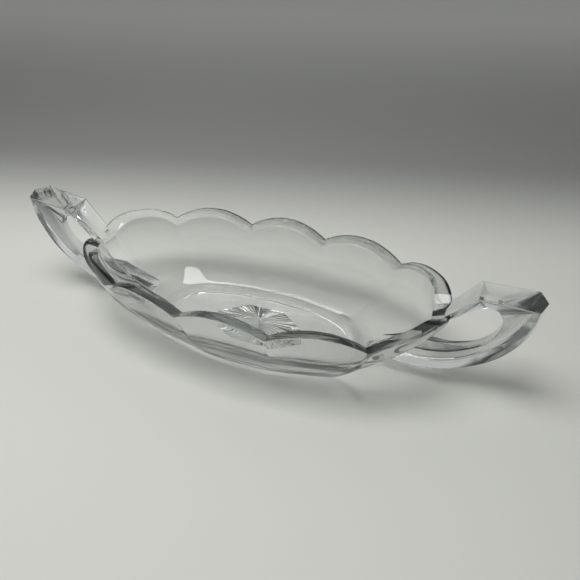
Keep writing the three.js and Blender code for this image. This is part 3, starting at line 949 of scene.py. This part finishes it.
class MakeStarBase(bpy.types.Operator):
    """Build the floor panel with the rayed star in its underside"""

    bl_idname = "glass_dish.make_star_base"
    bl_label = "Make star base"

    def execute(self, context):
        scene = context.scene
        bowl, finish = scene.dish_bowl, scene.dish_glass
        top, bottom = panel_seat(bowl)
        piece = new_piece("dish_star_base", mesh_from_rings("dish_star_base", [top, bottom], capped=True))
        mark_band(piece.data, 0, len(top))
        cutter = new_piece("star_cutter", star_cutter(scene.dish_star, bowl.base_recess))
        combine(piece, cutter, "DIFFERENCE")
        waves, wave_depth, smear = finish.base_waves, finish.base_wave_depth, finish.base_smear
        glass = glass_material("Base glass", finish, waves, wave_depth, smear)
        dress(piece, "star_base", glass, smooth=False)
        return {"FINISHED"}


class MakeHandles(bpy.types.Operator):
    """Build both loop handles"""

    bl_idname = "glass_dish.make_handles"
    bl_label = "Make handles"

    def execute(self, context):
        scene = context.scene
        handle, finish = scene.dish_handle, scene.dish_glass
        waves, wave_depth, smear = finish.handle_waves, finish.handle_wave_depth, finish.handle_smear
        glass = glass_material("Handle glass", finish, waves, wave_depth, smear)
        for side, node, lift in handle_sides(handle):
            loop = HandleLoop(scene.dish_bowl, handle, lift).sections()
            rings = [rounded_section(handle, section, side) for section in loop]
            name = f"dish_{node}"
            piece = new_piece(name, mesh_from_rings(name, rings, capped=True))
            mark_flat(piece.data, rings[0])
            mark_flat(piece.data, rings[-1])
            dress(piece, node, glass)
        return {"FINISHED"}


class MakeStage(bpy.types.Operator):
    """Build the floor, the light and the camera"""

    bl_idname = "glass_dish.make_stage"
    bl_label = "Make stage"

    # Half the floor's width, its drop below the dish, and the turn of its painted shade in degrees.
    FLOOR_HALF = 6.0
    FLOOR_DROP = 0.05 * MM
    BACK_TURN = 15.25

    # The photograph's view: place in metres, turns in degrees, focal length and frame in pixels.
    CAMERA_PLACE = (0.0798, -0.1710, 0.1713)
    CAMERA_TURN = 20.488
    CAMERA_TILT = 38.369
    CAMERA_ROLL = 0.19
    FOCAL_PIXELS = 514.75
    FRAME_PIXELS = 580

    # Shares of a direction between which each part of the surround grows from nothing to full.
    UPPER_SPAN = (0.1, 0.35)
    RIGHT_WALL_SPAN = (0.5, 0.8)
    CEILING_SPAN = (0.75, 0.85)
    FRONT_SPAN = (0.0, 0.6)

    # How often light may pass or bounce in the glass, and how much hard glints are softened.
    GLASS_BOUNCES = 32
    GLOSSY_BOUNCES = 16
    GLINT_BLUR = 0.3

    def execute(self, context):
        scene = context.scene
        setup = scene.dish_stage
        self.make_floor(setup)
        self.make_world(scene, setup)
        self.make_lamp(scene, setup)
        self.make_camera(scene)
        scene.view_settings.view_transform = "Standard"
        scene.cycles.max_bounces = self.GLASS_BOUNCES
        scene.cycles.transmission_bounces = self.GLASS_BOUNCES
        scene.cycles.transparent_max_bounces = self.GLASS_BOUNCES
        scene.cycles.glossy_bounces = self.GLOSSY_BOUNCES
        scene.cycles.caustics_refractive = True
        scene.cycles.caustics_reflective = True
        scene.cycles.blur_glossy = self.GLINT_BLUR
        return {"FINISHED"}

    def make_floor(self, setup):
        """A wide floor just under the dish."""
        reach, low = self.FLOOR_HALF, -self.FLOOR_DROP
        mesh = bpy.data.meshes.new("floor")
        mesh.from_pydata(
            [(-reach, -reach, low), (reach, -reach, low), (reach, reach, low), (-reach, reach, low)],
            [],
            [(0, 1, 2, 3)],
        )
        floor = new_piece("floor", mesh)
        # The floor's painted shade falls off along this direction.
        turn = math.radians(self.BACK_TURN)
        away = (-math.sin(turn), math.cos(turn), 0.0)
        mesh.materials.append(floor_material(setup, away))

    def make_world(self, scene, setup):
        """Dark low sides, paler higher up and at the right, grey above and dim in front."""
        world = bpy.data.worlds.new("Soft light")
        scene.world = world
        world.use_nodes = True
        tree = world.node_tree
        place = tree.nodes.new("ShaderNodeTexCoord").outputs["Generated"]
        turn = math.radians(self.CAMERA_TURN)
        upwards = reach_along(tree, place, (0.0, 0.0, 1.0))
        rightwards = reach_along(tree, place, (math.cos(turn), math.sin(turn), 0.0))
        forwards = reach_along(tree, place, (math.sin(turn), -math.cos(turn), 0.0))
        light = opaque(setup.horizon)
        for reach, span, tone in (
            (upwards, self.UPPER_SPAN, setup.upper),
            (rightwards, self.RIGHT_WALL_SPAN, setup.right_wall),
            (upwards, self.CEILING_SPAN, setup.ceiling),
            (forwards, self.FRONT_SPAN, setup.front),
        ):
            light = blended(tree, eased_range(tree, reach, *span), light, opaque(tone))
        feed(tree, tree.nodes["Background"], {"Color": light})

    def make_lamp(self, scene, setup):
        """A soft panel overhead."""
        light = bpy.data.lights.new("overhead panel", "AREA")
        light.shape = "RECTANGLE"
        light.size = setup.lamp_length
        light.size_y = setup.lamp_width
        light.energy = setup.lamp_power
        lamp = bpy.data.objects.new("overhead panel", light)
        lamp.location = (-setup.lamp_left, -setup.lamp_front, setup.lamp_height)
        scene.collection.objects.link(lamp)

    def make_camera(self, scene):
        """The photograph's point of view."""
        data = bpy.data.cameras.new("camera")
        data.lens = data.sensor_width * (self.FOCAL_PIXELS / self.FRAME_PIXELS)
        camera = bpy.data.objects.new("camera", data)
        matrix = Matrix.Translation(self.CAMERA_PLACE)
        for turn, axis in (
            (self.CAMERA_TURN, "Z"),
            (QUARTER_TURN - self.CAMERA_TILT, "X"),
            (self.CAMERA_ROLL, "Z"),
        ):
            matrix = matrix @ Matrix.Rotation(math.radians(turn), len(matrix), axis)
        camera.matrix_world = matrix
        scene.collection.objects.link(camera)
        scene.camera = camera


OPERATORS = (MakeBowl, MakeStarBase, MakeHandles, MakeStage)
SETTINGS = {
    "dish_bowl": BowlShape,
    "dish_star": StarShape,
    "dish_handle": HandleShape,
    "dish_glass": GlassFinish,
    "dish_stage": StageSetup,
}


class DishPanel(bpy.types.Panel):
    """Buttons and settings of the glass dish"""

    bl_idname = "VIEW3D_PT_glass_dish"
    bl_label = "Glass dish"
    bl_space_type = "VIEW_3D"
    bl_region_type = "UI"
    bl_category = "Glass dish"

    def draw(self, context):
        layout = self.layout
        for operator in OPERATORS:
            layout.operator(operator.bl_idname)
        for name, group in SETTINGS.items():
            box = layout.box()
            box.label(text=name.replace("_", " ").capitalize())
            for field in group.__annotations__:
                box.prop(getattr(context.scene, name), field)


CLASSES = (*SETTINGS.values(), *OPERATORS, DishPanel)


def register():
    """Makes the settings, operators and panel known."""
    for item in CLASSES:
        bpy.utils.register_class(item)
    for name, group in SETTINGS.items():
        setattr(bpy.types.Scene, name, PointerProperty(type=group))


def unregister():
    """Takes the settings, operators and panel away again."""
    for name in SETTINGS:
        delattr(bpy.types.Scene, name)
    for item in reversed(CLASSES):
        bpy.utils.unregister_class(item)


def main():
    """Builds the dish and its stage."""
    register()
    bpy.ops.glass_dish.make_bowl()
    bpy.ops.glass_dish.make_star_base()
    bpy.ops.glass_dish.make_handles()
    bpy.ops.glass_dish.make_stage()


if __name__ == "__main__":
    main()
